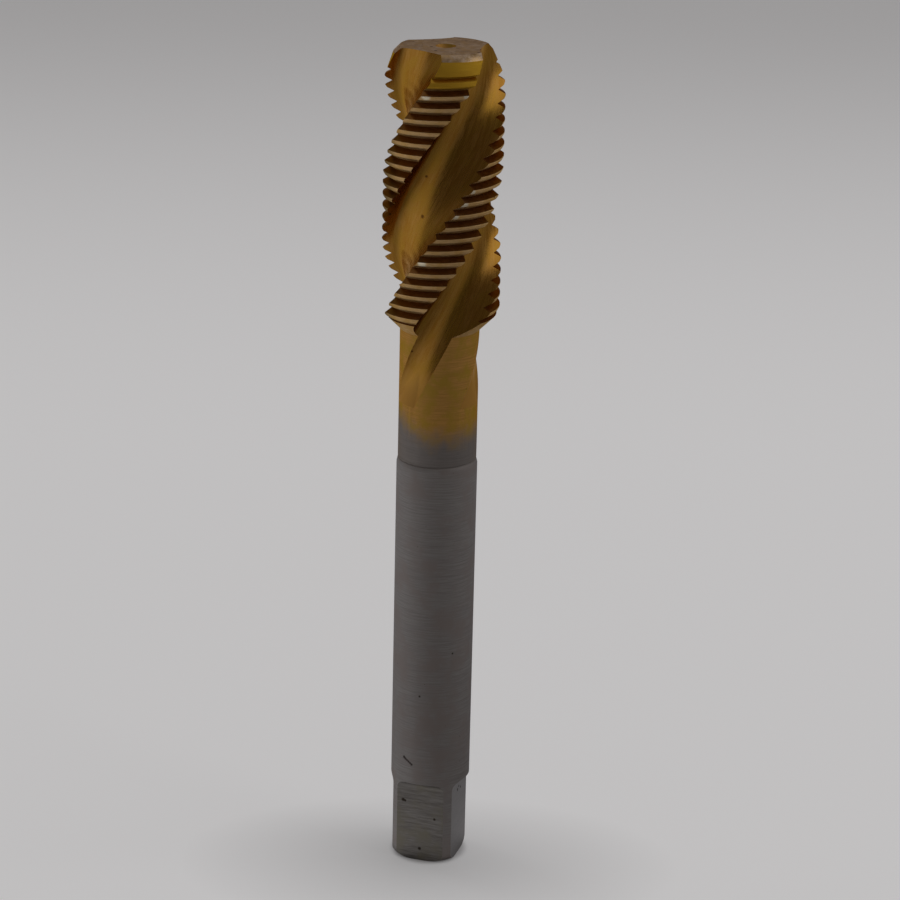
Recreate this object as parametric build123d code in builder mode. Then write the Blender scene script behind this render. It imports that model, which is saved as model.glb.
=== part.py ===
from build123d import *
import os
from math import cos, floor, radians, sin, sqrt, tan

# A three-flute spiral machine tap, standing on its drive square with the cutting end up.
# The axis of the tap is +Z and the centre of the drive end face is the origin.

# Lengths along the axis, mm
overall_length = 73.5
thread_length = 24.2        # tip face to the foot of the rear taper
neck_length = 11.7          # plain ground neck behind the thread
square_length = 7.0         # flats of the drive square at full depth

# Thread
major_diameter = 10.1       # over the crests
pitch = 1.0
crest_flat = 0.2            # width of the crest along the axis, left between sharp grooves
flank_angle = 60.0          # included angle of the groove, degrees
thread_heading = 198.0      # where a crest passes a whole pitch above the drive end, degrees

# Lead taper and rear taper
tip_diameter = 7.7          # end face, below the root of the thread
tip_bevel = 0.5             # 45 degree bevel round the end face
lead_taper_length = 2.6     # with the bevel
rear_taper_angle = 45.0     # measured from the axis, degrees

# Spiral flutes
flute_count = 3
flute_lead_length = 42.0    # axial advance in one turn, right hand
land_angle = 45.0           # width of a land at the crests, degrees
land_heading = -45.0        # direction of the first land's middle on the end face, degrees
core_diameter = 5.96        # web left between the flutes
core_heading = 32.0         # deepest point of a flute, degrees on from the cutting edge
rake_angle = 11.0           # hook of the cutting face
cutting_face_depth = 1.25   # radial height of the cutting face
flute_corner = 0.35         # bevel where the cutting face meets the floor
flute_length = 26.7         # tip face to where the grinding wheel starts to lift
wheel_radius = 18.0         # profile of the run-out along the axis

# Shank, neck and drive square
shank_diameter = 7.0
neck_diameter = 6.8
shank_chamfer = 0.42        # length of the bevel where the shank starts
relief_width = 0.16         # fine ground line between the bevel and the neck
relief_depth = 0.05
square_across_flats = 5.5
wheel_corner = 0.8          # radius at which the flats run out into the shank
rim_width = 0.75            # drive end's rim, turned in two bevels
rim_height = 0.8
rim_ridge = 0.25            # where the bevels meet, in from the side and up from the end

# Grinding centres in both end faces, each with a flat-bottomed pilot
centre_mouth = 1.7
centre_angle = 60.0
pilot_diameter = 0.8
pilot_depth = 1.6

# Room by which a cutting solid passes the surface that it opens
overshoot = 1.0
floor_overlap = 0.02        # keeps the run-out just under the floor where it starts
groove_overshoot = 0.08     # past the crests, under half the crest flat
groove_overlap = 12.0       # past each edge of a land, degrees

# Worked out from the sizes above
major_radius = major_diameter / 2
neck_radius = neck_diameter / 2
shank_radius = shank_diameter / 2
tip_radius = tip_diameter / 2
core_radius = core_diameter / 2
thread_foot = overall_length - thread_length
shank_top = thread_foot - neck_length
rear_taper_top = thread_foot + (major_radius - neck_radius) / tan(radians(rear_taper_angle))
flute_angle = 360 / flute_count - land_angle
turn_per_mm = 360 / flute_lead_length
wheel_lift = overall_length - flute_length
wheel_floor = core_radius - floor_overlap
run_out_rise = sqrt(wheel_radius**2 - (wheel_radius + wheel_floor - neck_radius) ** 2)
flute_foot = wheel_lift - run_out_rise - overshoot


def polar(radius, angle):
    return (radius * cos(radians(angle)), radius * sin(radians(angle)))


# Turned blank: drive end, shank, neck and the envelope of the thread
with BuildPart() as blank:
    with BuildSketch(Plane.XZ):
        with BuildLine():
            Polyline(
                (0, 0),
                (shank_radius - rim_width, 0),
                (shank_radius - rim_ridge, rim_ridge),
                (shank_radius, rim_height),
                (shank_radius, shank_top - shank_chamfer),
                (neck_radius, shank_top),
                (neck_radius - relief_depth, shank_top + relief_width / 2),
                (neck_radius, shank_top + relief_width),
                (neck_radius, thread_foot),
                (major_radius, rear_taper_top),
                (major_radius, overall_length - lead_taper_length),
                (tip_radius + tip_bevel, overall_length - tip_bevel),
                (tip_radius, overall_length),
                (0, overall_length),
                close=True,
            )
        make_face()
    revolve(axis=Axis.Z)

# Section of one flute, drawn with the cutting edge on the local X axis: the hooked
# cutting face, its bevelled foot, the shallow floor that touches the core, and the heel
first_edge = land_heading + land_angle / 2 - (overall_length - flute_foot) * turn_per_mm
section_plane = Plane(origin=(0, 0, flute_foot), x_dir=(*polar(1, first_edge), 0), z_dir=(0, 0, 1))
rake_run = tan(radians(rake_angle))
face_top = (major_radius + overshoot, overshoot * rake_run)
face_foot = (major_radius - cutting_face_depth, -cutting_face_depth * rake_run)
heel = polar(major_radius, flute_angle)
with BuildSketch(section_plane) as flute_section:
    with BuildLine():
        Line(face_top, face_foot)
        ThreePointArc(face_foot, polar(core_radius, core_heading), heel)
        Polyline(
            heel,
            polar(major_radius + overshoot, flute_angle),
            polar((major_radius + overshoot) / cos(radians(flute_angle / 2)), flute_angle / 2),
            face_top,
        )
    make_face()
    chamfer(flute_section.vertices().sort_by_distance((*face_foot, 0))[0], length=flute_corner)

# Solid that the grinding wheel leaves under its rising path, down in the neck
run_out_drop = wheel_lift - flute_foot + overshoot
run_out_radius = wheel_floor + wheel_radius - sqrt(wheel_radius**2 - run_out_drop**2)
with BuildPart() as run_out:
    with BuildSketch(Plane.XZ):
        with BuildLine():
            TangentArc(
                (wheel_floor, wheel_lift), (run_out_radius, wheel_lift - run_out_drop), tangent=(0, -1)
            )
            Polyline(
                (run_out_radius, wheel_lift - run_out_drop),
                (0, wheel_lift - run_out_drop),
                (0, wheel_lift),
                (wheel_floor, wheel_lift),
            )
        make_face()
    revolve(axis=Axis.Z)

# One flute: the section turned about the axis as it rises, less the run-out
flute_rise = overall_length + overshoot - flute_foot
with BuildPart() as flute:
    add(
        Solid.extrude_linear_with_rotation(
            flute_section.sketch.face(), (0, 0, flute_foot), (0, 0, flute_rise), flute_rise * turn_per_mm
        )
    )
    add(run_out.part, mode=Mode.SUBTRACT)

# One thread groove, long enough to cross a land along the thread's helix
groove_span = land_angle + 2 * groove_overlap
flank_run = tan(radians(flank_angle / 2))
mouth_half = (pitch - crest_flat) / 2
thread_depth = mouth_half / flank_run
brim_half = mouth_half + groove_overshoot * flank_run
with BuildPart() as groove:
    with BuildLine() as groove_path:
        Helix(pitch=pitch, height=pitch * groove_span / 360, radius=major_radius)
    with BuildSketch(Plane.XZ):
        with BuildLine():
            Polyline(
                (major_radius - thread_depth, 0),
                (major_radius + groove_overshoot, -brim_half),
                (major_radius + groove_overshoot, brim_half),
                close=True,
            )
        make_face()
    sweep(path=groove_path.line, is_frenet=True)


# Where the grooves cross a land: both the thread and the land climb with the angle
def groove_places(land):
    heading = land_heading + 360 / flute_count * land - overall_length * turn_per_mm
    step = pitch / (1 - pitch / flute_lead_length)
    lowest = ((heading - thread_heading) / 360 + 0.5) * step
    first = floor((thread_foot - lowest) / step)
    last = floor((overall_length - lowest) / step) + 1
    places = []
    for turn in range(first, last + 1):
        height = lowest + turn * step
        start = heading + height * turn_per_mm - groove_span / 2
        drop = pitch * groove_span / 720
        places.append(Location((0, 0, height - drop), (0, 0, start)))
    return places


# Wheel that grinds one flat of the drive square, with a rounded corner at its run-out
with BuildPart() as square_flat:
    with BuildSketch(Plane.XZ) as wheel_section:
        with BuildLine():
            Polyline(
                (square_across_flats / 2, -overshoot),
                (square_across_flats / 2, square_length + wheel_corner),
                (shank_radius + overshoot, square_length + wheel_corner),
                (shank_radius + overshoot, -overshoot),
                close=True,
            )
        make_face()
        fillet(wheel_section.vertices().group_by(Axis.Y)[-1].sort_by(Axis.X)[0], radius=wheel_corner)
    extrude(amount=shank_radius + overshoot, both=True)

# Grinding centre with its pilot, drawn at the drive end
mouth_depth = (centre_mouth - pilot_diameter) / 2 / tan(radians(centre_angle / 2))
with BuildPart() as centre_hole:
    with BuildSketch(Plane.XZ):
        with BuildLine():
            Polyline(
                (0, 0),
                (centre_mouth / 2, 0),
                (pilot_diameter / 2, mouth_depth),
                (pilot_diameter / 2, pilot_depth),
                (0, pilot_depth),
                close=True,
            )
        make_face()
    revolve(axis=Axis.Z)

# The finished tap is one ground piece
with BuildPart() as thread_tap:
    add(blank.part)
    with PolarLocations(0, flute_count):
        add(flute.part, mode=Mode.SUBTRACT)
    for land in range(flute_count):
        with Locations(*groove_places(land)):
            add(groove.part, mode=Mode.SUBTRACT)
    with PolarLocations(0, 4):
        add(square_flat.part, mode=Mode.SUBTRACT)
    with Locations(Location((0, 0, 0)), Location((0, 0, overall_length), (180, 0, 0))):
        add(centre_hole.part, mode=Mode.SUBTRACT)

thread_tap.part.label = "thread_tap"
os.makedirs("parts", exist_ok=True)
export_step(thread_tap.part, "parts/thread_tap.step")
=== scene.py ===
import math

import bmesh
import bpy
from mathutils import Matrix, Vector


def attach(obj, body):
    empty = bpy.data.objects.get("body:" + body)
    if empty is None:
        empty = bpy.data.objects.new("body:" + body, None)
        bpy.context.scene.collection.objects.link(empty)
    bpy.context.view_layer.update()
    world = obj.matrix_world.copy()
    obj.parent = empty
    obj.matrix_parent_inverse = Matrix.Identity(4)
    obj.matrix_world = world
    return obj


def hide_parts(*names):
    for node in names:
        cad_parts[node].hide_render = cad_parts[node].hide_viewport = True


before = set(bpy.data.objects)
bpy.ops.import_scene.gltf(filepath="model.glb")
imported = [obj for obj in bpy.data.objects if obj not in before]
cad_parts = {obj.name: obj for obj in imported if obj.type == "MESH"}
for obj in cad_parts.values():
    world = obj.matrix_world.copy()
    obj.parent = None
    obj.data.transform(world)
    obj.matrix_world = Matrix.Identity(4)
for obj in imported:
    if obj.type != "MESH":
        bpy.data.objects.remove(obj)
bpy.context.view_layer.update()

mm = 0.001
up = Vector((0, 0, 1))

# The turned tap: lengths in millimetres, angles in degrees
tap = {
    "overallLength": 73.5,
    "threadLength": 24.2,
    "neckLength": 11.7,
    "majorRadius": 5.05,
    "tipRadius": 3.85,
    "tipBevel": 0.5,
    "leadTaper": 2.6,
    "rearTaper": 1.65,
    "shankRadius": 3.5,
    "neckRadius": 3.4,
    "shankChamfer": 0.42,
    "reliefWidth": 0.16,       # fine ground line where the neck starts
    "reliefDepth": 0.05,
    "rimRounding": 0.8,        # round the drive end
    "turnedSteps": 192,        # facets round the turned surfaces
    "cornerSteps": 8,          # facets in a rounded corner
    "endSlope": 0.6,           # a face that looks up more than this gets the end's finish
    "weldReach": 1e-5,         # joins doubled points
    "sliverArea": 1e-6,        # folded slivers that the cutting leaves
    "sliverReach": 5e-3,
    "sharpAngle": 28.0,        # edges over this stay crisp
}

threadFoot = tap["overallLength"] - tap["threadLength"]
shankTop = threadFoot - tap["neckLength"]


def polar(radius, angle, height=0.0):
    turned = math.radians(angle)
    return Vector((radius * math.cos(turned), radius * math.sin(turned), height))


# Shapes: each starts as a few points and is turned, twisted or pulled into a solid
def wholeOf(bm):
    return bm.verts[:] + bm.edges[:] + bm.faces[:]


def drawPath(bm, points, closed=False):
    verts = [bm.verts.new(p) for p in points]
    for a, b in zip(verts, verts[1:] + verts[:1] if closed else verts[1:]):
        bm.edges.new((a, b))
    return verts


# The two loose ends of a path
def openEnds(bm):
    return [v for v in bm.verts if len(v.link_edges) == 1]


def roundCorner(bm, vert, size):
    bmesh.ops.bevel(
        bm, geom=[vert], affect="VERTICES", offset=size, segments=tap["cornerSteps"],
        profile=0.5, material=-1,
    )


def rotate(bm, verts, angle, axis="Z", centre=(0, 0, 0)):
    bmesh.ops.rotate(bm, verts=verts, cent=centre, matrix=Matrix.Rotation(angle, 3, axis))


def copyOf(bm, geom):
    copy = bmesh.ops.duplicate(bm, geom=geom)["geom"]
    return [v for v in copy if isinstance(v, bmesh.types.BMVert)]


def closeUp(bm):
    bmesh.ops.remove_doubles(bm, verts=bm.verts[:], dist=tap["weldReach"])
    bmesh.ops.recalc_face_normals(bm, faces=bm.faces[:])


def turn(bm, steps):
    bmesh.ops.spin(
        bm, geom=bm.verts[:] + bm.edges[:], cent=(0, 0, 0), axis=up, angle=2 * math.pi,
        steps=steps, use_merge=True,
    )
    closeUp(bm)


# Pulls a section up while it turns
def twist(bm, angle, rise, steps):
    bmesh.ops.spin(
        bm, geom=wholeOf(bm), cent=(0, 0, 0), axis=up, dvec=(0, 0, rise / steps),
        angle=math.radians(angle), steps=steps,
    )
    closeUp(bm)


# Repeats a shape round the axis
def around(bm, count):
    first = wholeOf(bm)
    for place in range(1, count):
        rotate(bm, copyOf(bm, first), 2 * math.pi * place / count)


def asObject(name, bm, *materials):
    mesh = bpy.data.meshes.new(name)
    bm.to_mesh(mesh)
    bm.free()
    for material in materials:
        mesh.materials.append(material)
    made = bpy.data.objects.new(name, mesh)
    bpy.context.scene.collection.objects.link(made)
    return made


# Cuts the cutters out of a target and keeps the result in its mesh
def cutAway(target, cutters):
    for cutter in cutters:
        cut = target.modifiers.new(cutter.name, "BOOLEAN")
        cut.operation = "DIFFERENCE"
        cut.solver = "MANIFOLD"
        cut.material_mode = "TRANSFER"
        cut.object = cutter
    bpy.context.view_layer.update()
    ready = target.evaluated_get(bpy.context.evaluated_depsgraph_get())
    finished = bpy.data.meshes.new_from_object(ready)
    target.modifiers.clear()
    target.data = finished
    for cutter in cutters:
        bpy.data.objects.remove(cutter)


# Turned blank, from the drive end up
def turnedBlank(*materials):
    bm = bmesh.new()
    path = drawPath(bm, [
        (0, 0, 0),
        (tap["shankRadius"], 0, 0),
        (tap["shankRadius"], 0, shankTop - tap["shankChamfer"]),
        (tap["neckRadius"], 0, shankTop),
        (tap["neckRadius"] - tap["reliefDepth"], 0, shankTop + tap["reliefWidth"] / 2),
        (tap["neckRadius"], 0, shankTop + tap["reliefWidth"]),
        (tap["neckRadius"], 0, threadFoot),
        (tap["majorRadius"], 0, threadFoot + tap["rearTaper"]),
        (tap["majorRadius"], 0, tap["overallLength"] - tap["leadTaper"]),
        (tap["tipRadius"] + tap["tipBevel"], 0, tap["overallLength"] - tap["tipBevel"]),
        (tap["tipRadius"], 0, tap["overallLength"]),
        (0, 0, tap["overallLength"]),
    ])
    roundCorner(bm, path[1], tap["rimRounding"])
    turn(bm, tap["turnedSteps"])
    blank = asObject("threadTap", bm, *materials)
    shank, neck, land, end = range(len(materials))  # which finish each height gets
    for face in blank.data.polygons:
        if face.normal.z > tap["endSlope"]:
            face.material_index = end
        elif face.center.z > threadFoot:
            face.material_index = land
        else:
            face.material_index = neck if face.center.z > shankTop else shank
    return blank


flutes = {
    "count": 3,
    "lead": 42.0,
    "landAngle": 45.0,
    "landHeading": -45.0,
    "coreRadius": 2.98,
    "coreHeading": 32.0,
    "rakeAngle": 11.0,
    "faceDepth": 1.25,
    "faceSteps": 7,
    "footReach": 1.0,          # how far the worn wheel rounds the foot of the cutting face
    "footPasses": 8,
    "footFactor": 0.5,
    "floorSteps": 28,
    "stepAngle": 2.0,          # facets along the flute
    "length": 26.7,            # tip face to where the wheel starts to lift
    "wheelRadius": 18.0,
    "wheelSteps": 40,
    "floorOverlap": 0.02,      # keeps the run-out just under the floor where it starts
    "overshoot": 1.0,
}

turnPerMm = 360 / flutes["lead"]
openAngle = 360 / flutes["count"] - flutes["landAngle"]
wheelLift = tap["overallLength"] - flutes["length"]
floorStart = flutes["coreRadius"] - flutes["floorOverlap"]
wheelToNeck = flutes["wheelRadius"] + floorStart - tap["neckRadius"]
wheelRise = math.sqrt(flutes["wheelRadius"]**2 - wheelToNeck**2)
fluteFoot = wheelLift - wheelRise - flutes["overshoot"]


def circleCentre(a, b, c):
    ab, ac = b - a, c - a
    normal = ab.cross(ac)
    toCentre = normal.cross(ab) * ac.length_squared + ac.cross(normal) * ab.length_squared
    return a + toCentre / (2 * normal.length_squared)


# Spiral flutes: hooked cutting face, rounded foot, shallow floor and heel, twisted as they rise
def fluteCutter(material):
    rakeRun = math.tan(math.radians(flutes["rakeAngle"]))
    outer = tap["majorRadius"] + flutes["overshoot"]
    foot = Vector((
        tap["majorRadius"] - flutes["faceDepth"], -flutes["faceDepth"] * rakeRun, 0,
    ))
    lowest = polar(flutes["coreRadius"], flutes["coreHeading"])
    heel = polar(tap["majorRadius"], openAngle)
    centre = circleCentre(foot, lowest, heel)
    sweep = (foot - centre).xy.angle_signed((heel - centre).xy)

    # The floor is one arc from the foot to the heel
    bm = bmesh.new()
    start = bm.verts.new(foot)
    bmesh.ops.spin(
        bm, geom=[start], cent=centre, axis=up, angle=-sweep, steps=flutes["floorSteps"]
    )
    last = max(openEnds(bm), key=lambda v: (v.co - foot).length)
    # The rim closes the section outside the crests, and its last edge is the cutting face
    rim = [bm.verts.new(p) for p in (
        polar(outer, openAngle),
        polar(outer / math.cos(math.radians(openAngle / 2)), openAngle / 2),
        (outer, flutes["overshoot"] * rakeRun, 0),
    )]
    outline = [bm.edges.new(pair) for pair in zip([last] + rim, rim + [start])]
    bmesh.ops.subdivide_edges(bm, edges=outline[-1:], cuts=flutes["faceSteps"])
    worn = [v for v in bm.verts if (v.co - foot).length < flutes["footReach"]]
    for again in range(flutes["footPasses"]):
        bmesh.ops.smooth_vert(
            bm, verts=worn, factor=flutes["footFactor"],
            use_axis_x=True, use_axis_y=True, use_axis_z=True,
        )
    bmesh.ops.contextual_create(bm, geom=bm.edges[:])

    aboveFoot = tap["overallLength"] - fluteFoot
    firstEdge = flutes["landHeading"] + flutes["landAngle"] / 2 - aboveFoot * turnPerMm
    rotate(bm, bm.verts[:], math.radians(firstEdge))
    bmesh.ops.translate(bm, verts=bm.verts[:], vec=(0, 0, fluteFoot))
    rise = tap["overallLength"] + flutes["overshoot"] - fluteFoot
    angle = rise * turnPerMm
    twist(bm, angle, rise, round(angle / flutes["stepAngle"]))
    around(bm, flutes["count"])
    cutter = asObject("fluteCutter", bm, material)
    cutAway(cutter, [runOut(material)])
    return cutter


# What the rising wheel leaves standing at the foot of the flutes
def runOut(material):
    wheel = flutes["wheelRadius"]
    drop = wheelLift - fluteFoot + flutes["overshoot"]
    bm = bmesh.new()
    start = bm.verts.new((floorStart, 0, wheelLift))
    bmesh.ops.spin(
        bm, geom=[start], cent=(floorStart + wheel, 0, wheelLift), axis=(0, 1, 0),
        angle=-math.asin(drop / wheel), steps=flutes["wheelSteps"],
    )
    low = min(openEnds(bm), key=lambda v: v.co.z)
    base = bm.verts.new((0, 0, low.co.z))
    top = bm.verts.new((0, 0, wheelLift))
    for pair in ((low, base), (top, start)):
        bm.edges.new(pair)
    turn(bm, tap["turnedSteps"])
    return asObject("runOut", bm, material)


thread = {
    "pitch": 1.0,
    "crestFlat": 0.11,
    "rootFlat": 0.03,
    "edgeHeight": 0.22,        # worn lower edge of each crest
    "edgeDepth": 0.12,
    "flankAngle": 60.0,
    "heading": 198.0,          # where a crest passes a whole pitch above the drive end
    "steps": 144,              # facets in one turn
    "lastTurn": 72,            # the thread ends in the lead taper
    "past": 0.03,              # outside the crests
    "weldReach": 5e-3,         # joins one turn to the next
    "edgeSlope": 0.2,          # a face that looks up more than this is such an edge
}


# One long thread groove, which passes every land on each of its turns
def grooveCutter(flank, edge):
    run = math.tan(math.radians(thread["flankAngle"] / 2))
    past, pitch = thread["past"], thread["pitch"]
    mouth = (pitch - thread["crestFlat"]) / 2
    drop, depth = thread["edgeHeight"], thread["edgeDepth"]
    deep = (2 * mouth - drop + depth * run - thread["rootFlat"]) / (2 * run)
    outside, root = tap["majorRadius"] + past, tap["majorRadius"] - deep
    low = deep * run - mouth
    firstTurn = math.floor(threadFoot / pitch) - 1

    # From the root round the outside and back over the worn edge
    bm = bmesh.new()
    section = drawPath(bm, [
        (root, 0, low),
        (outside, 0, -mouth - past * run),
        (outside, 0, mouth + past * drop / depth),
        (tap["majorRadius"] - depth, 0, mouth - drop),
        (root, 0, low + thread["rootFlat"]),
    ], closed=True)
    endSides = len(section)
    rotate(bm, bm.verts[:], math.radians(thread["heading"]))
    bmesh.ops.translate(bm, verts=bm.verts[:], vec=(0, 0, (firstTurn + 0.5) * pitch))
    twist(bm, 360, pitch, thread["steps"])
    oneTurn = wholeOf(bm)
    for place in range(1, thread["lastTurn"] - firstTurn):
        bmesh.ops.translate(bm, verts=copyOf(bm, oneTurn), vec=(0, 0, place * pitch))
    bmesh.ops.remove_doubles(bm, verts=bm.verts[:], dist=thread["weldReach"])
    bmesh.ops.holes_fill(bm, edges=bm.edges[:], sides=endSides)
    closeUp(bm)
    # The flanks take the groove finish, darkened with painted shade; the worn edges take the land's
    cutter = asObject("grooveCutter", bm, flank, edge)
    for face in cutter.data.polygons:
        face.material_index = int(face.normal.z > thread["edgeSlope"])
    return cutter


square = {
    "length": 7.0,             # flats at their full depth
    "halfFlats": 2.75,
    "wheelCorner": 0.8,        # where the flats run out into the shank
    "sides": 4,
    "reach": 4.5,              # past the shank
    "below": 1.0,              # past the drive end
}


# The wheels that grind the four flats of the drive square
def flatCutter(material):
    top = square["length"] + square["wheelCorner"]
    flat, reach, below = square["halfFlats"], square["reach"], square["below"]
    bm = bmesh.new()
    path = drawPath(bm, [
        (flat, -reach, -below), (flat, -reach, top), (reach, -reach, top), (reach, -reach, -below),
    ], closed=True)
    roundCorner(bm, path[1], square["wheelCorner"])
    bmesh.ops.contextual_create(bm, geom=bm.edges[:])
    pulled = bmesh.ops.extrude_face_region(bm, geom=bm.faces[:])["geom"]
    verts = [v for v in pulled if isinstance(v, bmesh.types.BMVert)]
    bmesh.ops.translate(bm, verts=verts, vec=(0, 2 * reach, 0))
    closeUp(bm)
    around(bm, square["sides"])
    return asObject("flatCutter", bm, material)


centreHole = {
    "mouthRadius": 0.85,
    "depth": 0.779,
    "halfAngle": 30.0,
    "pilotRadius": 0.4,
    "pilotDepth": 1.6,
    "steps": 64,
    "outside": 0.2,            # past the end faces
}


# Grinding centres in both end faces, each with its pilot
def centreCutter(material):
    outside = centreHole["outside"]
    flare = outside * math.tan(math.radians(centreHole["halfAngle"]))
    bm = bmesh.new()
    drawPath(bm, [
        (0, 0, -outside),
        (centreHole["mouthRadius"] + flare, 0, -outside),
        (centreHole["pilotRadius"], 0, centreHole["depth"]),
        (centreHole["pilotRadius"], 0, centreHole["pilotDepth"]),
        (0, 0, centreHole["pilotDepth"]),
    ])
    turn(bm, centreHole["steps"])
    rotate(bm, copyOf(bm, wholeOf(bm)), math.pi, "X", (0, 0, tap["overallLength"] / 2))
    closeUp(bm)
    return asObject("centreCutter", bm, material)


# Shader nodes
def addNode(tree, kind, inputs=None, **settings):
    node = tree.nodes.new(kind)
    for name, value in settings.items():
        setattr(node, name, value)
    for name, value in (inputs or {}).items():
        if isinstance(value, bpy.types.NodeSocket):
            tree.links.new(value, node.inputs[name])
        else:
            node.inputs[name].default_value = value
    return node


def calc(tree, operation, *values):
    return addNode(tree, "ShaderNodeMath", dict(enumerate(values)), operation=operation).outputs[0]


def vectorCalc(tree, operation, *values):
    node = addNode(tree, "ShaderNodeVectorMath", dict(enumerate(values)), operation=operation)
    return node.outputs["Value" if operation in ("DISTANCE", "LENGTH", "DOT_PRODUCT") else "Vector"]


def ramp(tree, value, low, high, to=(0.0, 1.0), smooth=True):
    node = addNode(tree, "ShaderNodeMapRange", {0: value, 1: low, 2: high, 3: to[0], 4: to[1]})
    node.interpolation_type = "SMOOTHSTEP" if smooth else "LINEAR"
    return node.outputs[0]


def blend(tree, mask, first, second):
    first, second = ((*c, 1) if isinstance(c, tuple) else c for c in (first, second))
    node = addNode(tree, "ShaderNodeMix", {0: mask, 6: first, 7: second}, data_type="RGBA")
    return node.outputs[2]


def mixValue(tree, mask, first, second):
    return addNode(tree, "ShaderNodeMix", {0: mask, 2: first, 3: second}).outputs[0]


def sideOf(tree, place):
    return addNode(tree, "ShaderNodeSeparateXYZ", {0: place}).outputs["X"]


def heightOf(tree, place):
    return addNode(tree, "ShaderNodeSeparateXYZ", {0: place}).outputs["Z"]


def newGroup(name, inputs, outputs):
    tree = bpy.data.node_groups.new(name, "ShaderNodeTree")
    for title, kind, value in inputs:
        socket = tree.interface.new_socket(title, in_out="INPUT", socket_type=kind)
        if value is not None:
            socket.default_value = value
    for title, kind in outputs:
        tree.interface.new_socket(title, in_out="OUTPUT", socket_type=kind)
    return tree, tree.nodes.new("NodeGroupInput"), tree.nodes.new("NodeGroupOutput")


# Grinding lines, cloudy tint and small pits, from a place in millimetres
def groundSurface():
    tree, entry, leave = newGroup("groundSurface", [
        ("Place", "NodeSocketVector", None),
        ("Stretch", "NodeSocketVector", (1, 1, 1)),
        ("Line Scale", "NodeSocketFloat", 4.0),
        ("Cloud Scale", "NodeSocketFloat", 0.6),
        ("Pit Scale", "NodeSocketFloat", 0.8),
        ("Pit Size", "NodeSocketFloat", 0.1),
        ("Pit Edge", "NodeSocketFloat", 0.6),
    ], [("Lines", "NodeSocketFloat"), ("Clouds", "NodeSocketFloat"), ("Pits", "NodeSocketFloat")])
    given = entry.outputs
    lines = addNode(tree, "ShaderNodeTexNoise", {
        "Vector": vectorCalc(tree, "MULTIPLY", given["Place"], given["Stretch"]),
        "Scale": given["Line Scale"], "Detail": 3.0, "Roughness": 0.7,
    })
    clouds = addNode(tree, "ShaderNodeTexNoise", {
        "Vector": given["Place"],
        "Scale": given["Cloud Scale"], "Detail": 5.0, "Roughness": 0.6,
    })
    cells = addNode(tree, "ShaderNodeTexVoronoi", {
        "Vector": given["Place"], "Scale": given["Pit Scale"], "Randomness": 1.0,
    })
    size = calc(tree, "MULTIPLY", cells.outputs["Color"], given["Pit Size"])
    reach = calc(tree, "DIVIDE", cells.outputs["Distance"], size)
    pits = calc(tree, "SUBTRACT", 1.0, ramp(tree, reach, given["Pit Edge"], 1.0))
    tree.links.new(lines.outputs[0], leave.inputs["Lines"])
    tree.links.new(clouds.outputs[0], leave.inputs["Clouds"])
    tree.links.new(pits, leave.inputs["Pits"])
    return tree


# Untwists a place, so that a pattern runs along the flutes
def alongFlutes():
    tree, entry, leave = newGroup(
        "alongFlutes", [("Place", "NodeSocketVector", None)], [("Place", "NodeSocketVector")]
    )
    place = entry.outputs["Place"]
    untwist = addNode(tree, "ShaderNodeVectorRotate", {
        "Vector": place,
        "Angle": calc(tree, "MULTIPLY", heightOf(tree, place), -math.radians(turnPerMm)),
    }, rotation_type="Z_AXIS")
    tree.links.new(untwist.outputs[0], leave.inputs["Place"])
    return tree


# How every finish is mixed from its colours
mixing = {
    "lineRange": (0.3, 0.7),         # noise between the dark lines and the light ones
    "cloudRange": (0.4, 0.68),
    "cloudShare": (0.0, 0.8),
    "roughnessRange": (0.25, 0.75),
    "pitDepth": 2.0,                 # against the height of the lines
    "bumpDistance": 0.1,
    "spotCore": 0.4,                 # share of a spot that has its full colour
}
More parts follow.
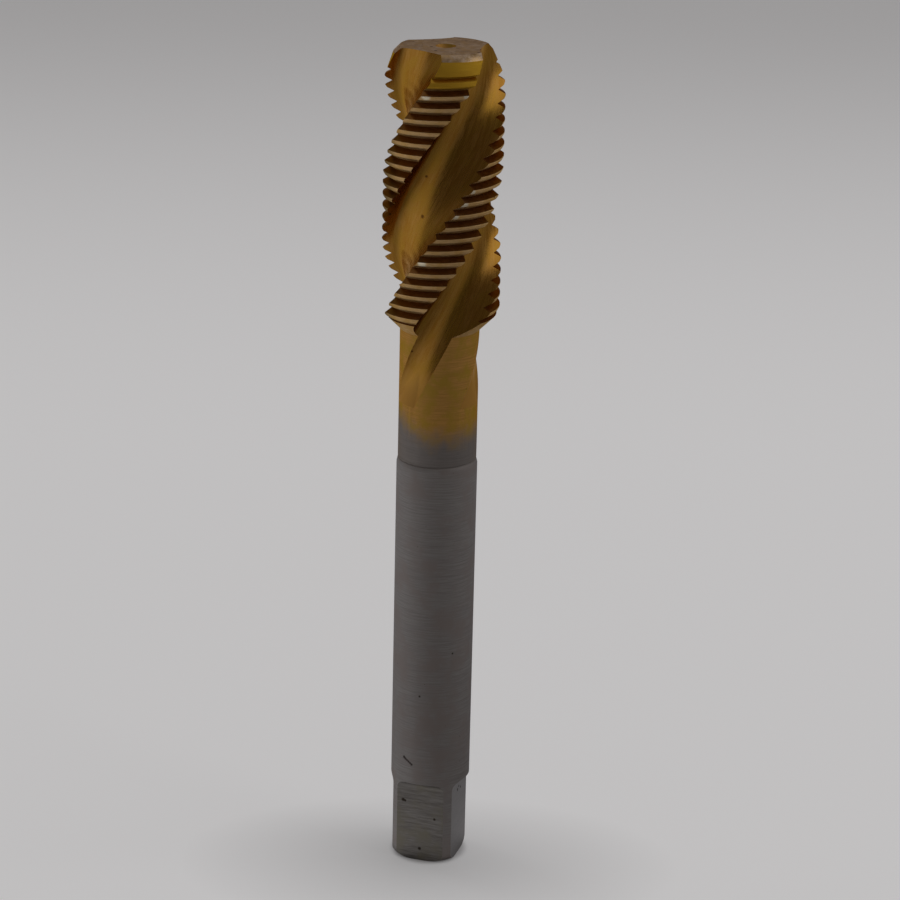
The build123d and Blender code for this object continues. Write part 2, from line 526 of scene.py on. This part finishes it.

# Each finish: its colours, with the one it takes at a grazing angle as its edge, then its
# grain, with the scales of its lines, clouds and pits. A mark, or a glint that is a painted
# highlight, is given by its place and its size.
finishes = {
    "shankSteel": {
        "edge": (0.45, 0.45, 0.47),
        "dark": (0.3, 0.282, 0.276),
        "light": (0.44, 0.422, 0.412),
        "tint": (0.36, 0.318, 0.302),
        "pit": (0.1, 0.085, 0.08),
        "roughness": (0.6, 0.72),
        "bump": 0.06,
        "stretch": (0.16, 0.16, 7.0),
        "scales": (2.2, 0.5, 0.9),
        "pitSize": 0.05,
        "marks": [
            (-1.45, -3.18, 10.15, 0.2), (-1.31, -3.25, 10.04, 0.18), (-1.15, -3.31, 9.95, 0.16),
            (-0.99, -3.36, 9.85, 0.16), (-0.83, -3.4, 9.75, 0.15), (-0.68, -3.43, 9.64, 0.16),
            (-0.04, -3.5, 16.36, 0.13), (2.56, -2.39, 20.4, 0.12),
        ],
    },
    "flatSteel": {
        "edge": (0.6, 0.6, 0.6),
        "dark": (0.16, 0.148, 0.138),
        "light": (0.32, 0.305, 0.29),
        "tint": (0.23, 0.213, 0.168),
        "pit": (0.05, 0.04, 0.03),
        "roughness": (0.45, 0.6),
        "bump": 0.2,
        "stretch": (0.3, 0.3, 3.2),
        "scales": (1.3, 0.6, 0.9),
        "pitSize": 0.08,
        "pale": (0.42, 0.41, 0.415),     # painted light on the flat on the +X side
        "litSide": (2.6, 2.7),
        "marks": [
            (-1.6, -2.75, 5.76, 0.22), (-1.42, -2.75, 5.7, 0.16), (1.36, -2.75, 4.26, 0.16),
            (0.01, -2.75, 1.14, 0.2), (2.75, -0.46, 6.4, 0.2), (2.75, -0.1, 6.6, 0.16),
            (2.75, 0.46, 6.28, 0.16),
        ],
    },
    "neckCoat": {
        "edge": (0.36, 0.27, 0.17),
        "dark": (0.53, 0.29, 0.07),
        "light": (0.76, 0.45, 0.14),
        "tint": (0.55, 0.36, 0.055),
        "pit": (0.16, 0.08, 0.03),
        "roughness": (0.62, 0.75),
        "bump": 0.05,
        "stretch": (0.16, 0.16, 7.0),
        "scales": (2.0, 0.8, 0.5),
        "pitSize": 0.1,
        "bareSteelAndGlint": (0.31, 0.285, 0.272),    # the steel under the end of the coating
        "bareHeights": (38.9, 41.9),
        "bareLean": (0.27, 0.1),
        "bareClouds": (0.3, 0.7),
        "bareSway": (-0.5, 0.5),
    },
    "landCoat": {
        "edge": (0.36, 0.26, 0.15),
        "dark": (0.66, 0.44, 0.18),
        "light": (0.93, 0.68, 0.37),
        "tint": (0.72, 0.46, 0.16),
        "pit": (0.16, 0.08, 0.03),
        "roughness": (0.6, 0.75),
        "bump": 0.03,
        "stretch": (0.3, 0.3, 6.0),
        "scales": (3.0, 1.2, 0.8),
        "pitSize": 0.1,
        "sideShade": (0.29, 0.215, 0.115),    # painted shade towards the -X side
        "sideShadeSpan": (-2.4, -4.3),
        "lead": (0.7, 0.43, 0.045),
        "leadHeights": (70.6, 71.0),
        "glint": (1.0, 0.9, 0.68),       # painted highlights at the corners of teeth
        "glintRoughness": 0.35,
        "glints": [
            (3.12, -3.95, 61.2, 0.5), (2.52, -4.38, 60.3, 0.4), (3.7, -3.4, 62.2, 0.3),
            (-0.05, -5.04, 70.25, 0.5), (3.08, -4.0, 70.32, 0.3), (-0.12, -5.0, 56.1, 0.5),
        ],
    },
    "endGround": {
        "edge": (0.7, 0.6, 0.52),
        "dark": (0.38, 0.24, 0.12),
        "light": (0.7, 0.54, 0.4),
        "tint": (0.56, 0.36, 0.15),
        "pit": (0.14, 0.06, 0.02),
        "roughness": (0.3, 0.5),
        "bump": 0.08,
        "stretch": (1.0, 1.0, 1.0),
        "scales": (1.6, 1.5, 1.4),
        "pitSize": 0.3,
    },
    # Thread grooves: the coat's colours darkened with painted shade of the recesses
    "shadedGrooveCoat": {
        "edge": (0.6, 0.35, 0.15),
        "dark": (0.135, 0.058, 0.018),
        "light": (0.21, 0.1, 0.036),
        "tint": (0.165, 0.075, 0.02),
        "pit": (0.08, 0.03, 0.01),
        "roughness": (0.3, 0.45),
        "bump": 0.03,
        "stretch": (1.0, 1.0, 4.0),
        "scales": (2.0, 0.8, 0.8),
        "pitSize": 0.05,
        # painted shade towards the -X side
        "sideShade": (0.16, 0.1, 0.045),
        "sideShadeSpan": (-1.2, -4.3),
        "lead": (0.5, 0.28, 0.03),
        "leadHeights": (70.4, 71.6),
    },
    "fluteCoat": {
        "edge": (0.9, 0.74, 0.52),
        "dark": (0.29, 0.131, 0.018),
        "light": (0.39, 0.201, 0.046),
        "tint": (0.33, 0.176, 0.024),
        "pit": (0.12, 0.05, 0.01),
        "roughness": (0.22, 0.32),
        "bump": 0.03,
        "stretch": (1.4, 1.4, 0.2),
        "scales": (2.2, 0.55, 0.45),
        "pitSize": 0.12,
        "liftedHeights": (46.8, 43.2),   # where the wheel lifts out
        "marks": [(-0.82, -2.88, 59.61, 0.22), (-0.47, -3.12, 63.11, 0.16)],
    },
}


def spot(tree, place, x, y, z, size):
    distance = vectorCalc(tree, "DISTANCE", place, (x, y, z))
    return ramp(tree, distance, size, size * mixing["spotCore"])


# Tones, which change a finish from place to place.
# The coating thins out down the neck and the bare steel shows.
def fadeCoat(tree, look, place, clouds, colour, roughness):
    side = sideOf(tree, place)
    near, far = look["bareLean"]
    bend = calc(tree, "SUBTRACT", near, calc(tree, "MULTIPLY", side, far))
    lean = calc(tree, "MULTIPLY", side, bend)
    sway = ramp(tree, clouds, *look["bareClouds"], look["bareSway"], smooth=False)
    edge = calc(tree, "ADD", calc(tree, "ADD", heightOf(tree, place), sway), lean)
    return blend(tree, ramp(tree, edge, *look["bareHeights"]), look["bareSteelAndGlint"], colour), roughness


# Painted light: one flat of the square, on the +X side, is paler than the other three
def paintedLightFlat(tree, look, place, clouds, colour, roughness):
    pale = ramp(tree, sideOf(tree, place), *look["litSide"])
    return blend(tree, pale, colour, look["pale"]), roughness


# Painted shade darkens the lands and the grooves towards the -X side. The lead taper keeps a deeper
# gold than the rubbed lands and the dark grooves
def sideShadeAndGoldLead(tree, look, place, clouds, colour, roughness):
    sideShade = ramp(tree, sideOf(tree, place), *look["sideShadeSpan"])
    colour = blend(tree, sideShade, colour, look["sideShade"])
    lead = ramp(tree, heightOf(tree, place), *look["leadHeights"])
    return blend(tree, lead, colour, look["lead"]), roughness


# Where the wheel lifts out, the flute takes the look of the neck
def fadeRunOut(tree, look, place, clouds, colour, roughness):
    lifted = ramp(tree, heightOf(tree, place), *look["liftedHeights"])
    neck = finishes["neckCoat"]
    colour = blend(tree, lifted, colour, neck["dark"])
    return colour, mixValue(tree, lifted, roughness, neck["roughness"][0])


surfaceGroup = groundSurface()
fluteGroup = alongFlutes()


def finish(name, tone=None, twisted=False):
    look = finishes[name]
    material = bpy.data.materials.new(name)
    material.use_nodes = True
    tree = material.node_tree
    shader = tree.nodes["Principled BSDF"]
    shader.inputs["Metallic"].default_value = 1
    shader.inputs["Specular Tint"].default_value = (*look["edge"], 1)

    coordinates = addNode(tree, "ShaderNodeTexCoord").outputs["Object"]
    place = vectorCalc(tree, "MULTIPLY", coordinates, (1 / mm,) * 3)
    pattern = place
    if twisted:
        untwisted = addNode(tree, "ShaderNodeGroup", {"Place": place}, node_tree=fluteGroup)
        pattern = untwisted.outputs["Place"]
    lineScale, cloudScale, pitScale = look["scales"]
    surface = addNode(tree, "ShaderNodeGroup", {
        "Place": pattern, "Stretch": look["stretch"], "Line Scale": lineScale,
        "Cloud Scale": cloudScale, "Pit Scale": pitScale, "Pit Size": look["pitSize"],
    }, node_tree=surfaceGroup).outputs
    lines, clouds, pits = surface["Lines"], surface["Clouds"], surface["Pits"]

    colour = blend(tree, ramp(tree, lines, *mixing["lineRange"]), look["dark"], look["light"])
    cloudy = ramp(tree, clouds, *mixing["cloudRange"], mixing["cloudShare"])
    colour = blend(tree, cloudy, colour, look["tint"])
    roughness = ramp(tree, lines, *mixing["roughnessRange"], look["roughness"])
    if tone:
        colour, roughness = tone(tree, look, place, clouds, colour, roughness)
    for mark in look.get("marks", ()):
        pits = calc(tree, "MAXIMUM", pits, spot(tree, place, *mark))
    colour = blend(tree, pits, colour, look["pit"])
    # Glints are painted highlights: pale spots with a smoother gloss at the corners of teeth
    for glint in look.get("glints", ()):
        bareSteelAndGlint = spot(tree, place, *glint)
        colour = blend(tree, bareSteelAndGlint, colour, look["glint"])
        roughness = mixValue(tree, bareSteelAndGlint, roughness, look["glintRoughness"])

    height = calc(tree, "SUBTRACT", lines, calc(tree, "MULTIPLY", pits, mixing["pitDepth"]))
    bump = addNode(tree, "ShaderNodeBump", {
        "Height": height, "Strength": look["bump"], "Distance": mixing["bumpDistance"] * mm,
    })
    tree.links.new(colour, shader.inputs["Base Color"])
    tree.links.new(roughness, shader.inputs["Roughness"])
    tree.links.new(bump.outputs["Normal"], shader.inputs["Normal"])
    return material


print("tap: mixing its finishes")
shankSteel = finish("shankSteel")
flatSteel = finish("flatSteel", paintedLightFlat)
neckCoat = finish("neckCoat", fadeCoat)
landCoat = finish("landCoat", sideShadeAndGoldLead)
endGround = finish("endGround")
shadedGrooveCoat = finish("shadedGrooveCoat", sideShadeAndGoldLead, twisted=True)
fluteCoat = finish("fluteCoat", fadeRunOut, twisted=True)

print("tap: turning the blank and cutting it")
body = turnedBlank(shankSteel, neckCoat, landCoat, endGround)
cutAway(body, [
    grooveCutter(shadedGrooveCoat, landCoat),
    fluteCutter(fluteCoat),
    flatCutter(flatSteel),
    centreCutter(neckCoat),
])


# Merges the folded slivers, brings the mesh to metres and keeps its crisp edges
def cleanUp(body):
    bm = bmesh.new()
    bm.from_mesh(body.data)
    bmesh.ops.triangulate(bm, faces=[f for f in bm.faces if len(f.verts) > 4])
    besideSeams = {f for e in bm.edges if not e.is_manifold for f in e.link_faces}
    slivers = [f for f in besideSeams if f.calc_area() < tap["sliverArea"]]
    folds = {v for f in slivers for v in f.verts}
    bmesh.ops.remove_doubles(bm, verts=list(folds), dist=tap["sliverReach"])
    bmesh.ops.scale(bm, verts=bm.verts[:], vec=(mm, mm, mm))
    openEdges = [e for e in bm.edges if not e.is_manifold]
    print("tap:", len(bm.faces), "faces,", len(openEdges), "open edges")
    bm.to_mesh(body.data)
    bm.free()
    body.data.shade_smooth()
    body.data.set_sharp_from_angle(angle=math.radians(tap["sharpAngle"]))


cleanUp(body)
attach(body, "root")
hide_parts("thread_tap")

# Camera: degrees, and millimetres from the tap's axis and foot
view = {
    "azimuth": 17.0,           # from -Y towards +X
    "pitch": 19.25,            # below the horizon
    "roll": 1.34,
    "distance": 251.7,
    "aimAside": 1.112,
    "aimHeight": 38.2,
    "lens": 116.4,
    "sensor": 36,
    "clip": (0.01, 20),        # metres
}


def placeCamera():
    pitch, azimuth = math.radians(view["pitch"]), math.radians(view["azimuth"])
    right = Vector((math.cos(azimuth), math.sin(azimuth), 0))
    forward = Vector((
        -math.sin(azimuth) * math.cos(pitch), math.cos(azimuth) * math.cos(pitch), -math.sin(pitch),
    ))
    lift = right.cross(forward)
    rolled = Matrix.Rotation(math.radians(view["roll"]), 3, -forward)
    aim = right * view["aimAside"] + up * view["aimHeight"]
    placed = Matrix((rolled @ right, rolled @ lift, -forward)).transposed().to_4x4()
    placed.translation = (aim - forward * view["distance"]) * mm
    data = bpy.data.cameras.new("camera")
    data.lens = view["lens"]
    data.sensor_width = view["sensor"]
    data.clip_start, data.clip_end = view["clip"]
    camera = bpy.data.objects.new("camera", data)
    camera.matrix_world = placed
    bpy.context.scene.collection.objects.link(camera)
    bpy.context.scene.camera = camera


# Paper, room and lamps: metres, and headings in degrees round from the front.
# A span says where a change starts and ends.
room = {
    "floorSize": 3.0,
    "paper": (0.6, 0.596, 0.6),
    "paperRoughness": 0.9,
    "table": (0.15, 0.146, 0.14),    # where the paper ends, behind the camera
    "tableSpan": (-0.2, -0.4),
    "glowColour": (1, 0.993, 1),
    "glow": (0.365, 0.18),           # seen by the camera alone, near the tap and far from it
    "glowSpan": (0.1, 0.44),
    "shade": (0.6, 1.0),             # dims that glow round the foot of the tap
    "shadeSpan": (0.0015, 0.0135),
    "shadeWidth": 0.6,
    "shadeForward": 0.003,
    "contact": (0.3, 1.0),           # and right under its rim
    "contactSpan": (0.0028, 0.0037),
    "shine": (0.5, 0.0),             # mirrored by the metal alone, bright side and dim side
    "shineSpan": (-0.8, 1.3),
    "shineFoot": (0.0034, 0.0052),
    "dimSide": 60,
    "outerDim": (1.2, 0.0),          # that shine is weaker near the tap than far from it
    "outerSpan": (0.035, 0.105),
    "innerDim": (-1.2, 0.0),         # but strong right round its foot
    "innerSpan": (0.006, 0.026),
    "dimWall": (0.1, 0.09, 0.084),
    "paleWall": (0.27, 0.26, 0.26),
    "paleSpan": (-0.5, 0.4),
    "wallTop": (0.9, 0.5),
    "ceiling": (0.38, 0.37, 0.37),
    "ceilingSpan": (0.84, 0.93),
    "lampCentre": 0.04,              # height of the point that the lamps face
    "lamps": (
        # name, heading, height in degrees, distance, width, length, watts
        ("rightWindow", 78, 36, 0.6, 0.4, 0.3, 0.36),
        ("leftWindow", -128, 60, 0.6, 0.08, 0.08, 0.08),
    ),
}


def facing(heading, height=0.0):
    rise = math.radians(height)
    return polar(math.cos(rise), view["azimuth"] - 90 + heading, math.sin(rise))


# How far a place lies towards a heading
def towards(tree, place, heading):
    return vectorCalc(tree, "DOT_PRODUCT", place, facing(heading))


# Longer towards the sides, and shifted a little to the front
def footShade(tree, place, radius):
    sideways = calc(tree, "MULTIPLY", towards(tree, place, 90), room["shadeWidth"])
    forwards = calc(tree, "ADD", towards(tree, place, 180), room["shadeForward"])
    squares = [calc(tree, "MULTIPLY", length, length) for length in (sideways, forwards)]
    spread = calc(tree, "SQRT", calc(tree, "ADD", *squares))
    shade = ramp(tree, spread, *room["shadeSpan"], room["shade"], smooth=False)
    contact = ramp(tree, radius, *room["contactSpan"], room["contact"])
    return calc(tree, "MULTIPLY", shade, contact)


# Bright on one side of the tap and dim on the other, so that its flutes show bands
def mirroredShine(tree, place, radius, table):
    dim = calc(tree, "DIVIDE", towards(tree, place, room["dimSide"]), radius)
    for ring in ("outer", "inner"):
        change = ramp(tree, radius, *room[ring + "Span"], room[ring + "Dim"], smooth=False)
        dim = calc(tree, "ADD", dim, change)
    shine = ramp(tree, dim, *room["shineSpan"], room["shine"], smooth=False)
    shine = calc(tree, "MULTIPLY", shine, ramp(tree, radius, *room["shineFoot"]))
    return calc(tree, "MULTIPLY", shine, calc(tree, "SUBTRACT", 1.0, table))


def paperMaterial():
    material = bpy.data.materials.new("paper")
    material.use_nodes = True
    tree = material.node_tree
    shader = tree.nodes["Principled BSDF"]
    shader.inputs["Roughness"].default_value = room["paperRoughness"]
    shader.inputs["Emission Color"].default_value = (*room["glowColour"], 1)
    rays = addNode(tree, "ShaderNodeLightPath").outputs
    place = addNode(tree, "ShaderNodeTexCoord").outputs["Object"]
    radius = vectorCalc(tree, "LENGTH", place)
    away = towards(tree, place, 180)
    table = ramp(tree, away, *room["tableSpan"])
    tree.links.new(blend(tree, table, room["paper"], room["table"]), shader.inputs["Base Color"])

    seen = calc(tree, "MAXIMUM", rays["Is Camera Ray"], rays["Is Transmission Ray"])
    glow = calc(tree, "MULTIPLY", seen, footShade(tree, place, radius))
    glow = calc(tree, "MULTIPLY", glow, ramp(tree, away, *room["glowSpan"], room["glow"]))
    shine = mirroredShine(tree, place, radius, table)
    shine = calc(tree, "MULTIPLY", rays["Is Glossy Ray"], shine)
    tree.links.new(calc(tree, "ADD", glow, shine), shader.inputs["Emission Strength"])
    return material


def roomWalls():
    world = bpy.data.worlds.new("room")
    world.use_nodes = True
    tree = world.node_tree
    way = addNode(tree, "ShaderNodeTexCoord").outputs["Generated"]
    height = heightOf(tree, way)
    behind = ramp(tree, towards(tree, way, 180), *room["paleSpan"])
    pale = calc(tree, "MULTIPLY", behind, ramp(tree, height, *room["wallTop"]))
    walls = blend(tree, pale, room["dimWall"], room["paleWall"])
    walls = blend(tree, ramp(tree, height, *room["ceilingSpan"]), walls, room["ceiling"])
    tree.links.new(walls, tree.nodes["Background"].inputs["Color"])
    bpy.context.scene.world = world


def placeLamp(name, heading, height, distance, width, length, watts):
    data = bpy.data.lights.new(name, "AREA")
    data.shape = "RECTANGLE"
    data.size, data.size_y, data.energy = width, length, watts
    way = facing(heading, height)
    lamp = bpy.data.objects.new(name, data)
    lamp.location = way * distance + Vector((0, 0, room["lampCentre"]))
    lamp.rotation_euler = (-way).to_track_quat("-Z", "Y").to_euler()
    bpy.context.scene.collection.objects.link(lamp)


print("room: camera, paper and lamps")
placeCamera()
paper = bmesh.new()
bmesh.ops.create_grid(paper, x_segments=1, y_segments=1, size=room["floorSize"])
floor = asObject("floor", paper, paperMaterial())
roomWalls()
for lamp in room["lamps"]:
    placeLamp(*lamp)

bpy.context.scene.view_settings.view_transform = "Standard"
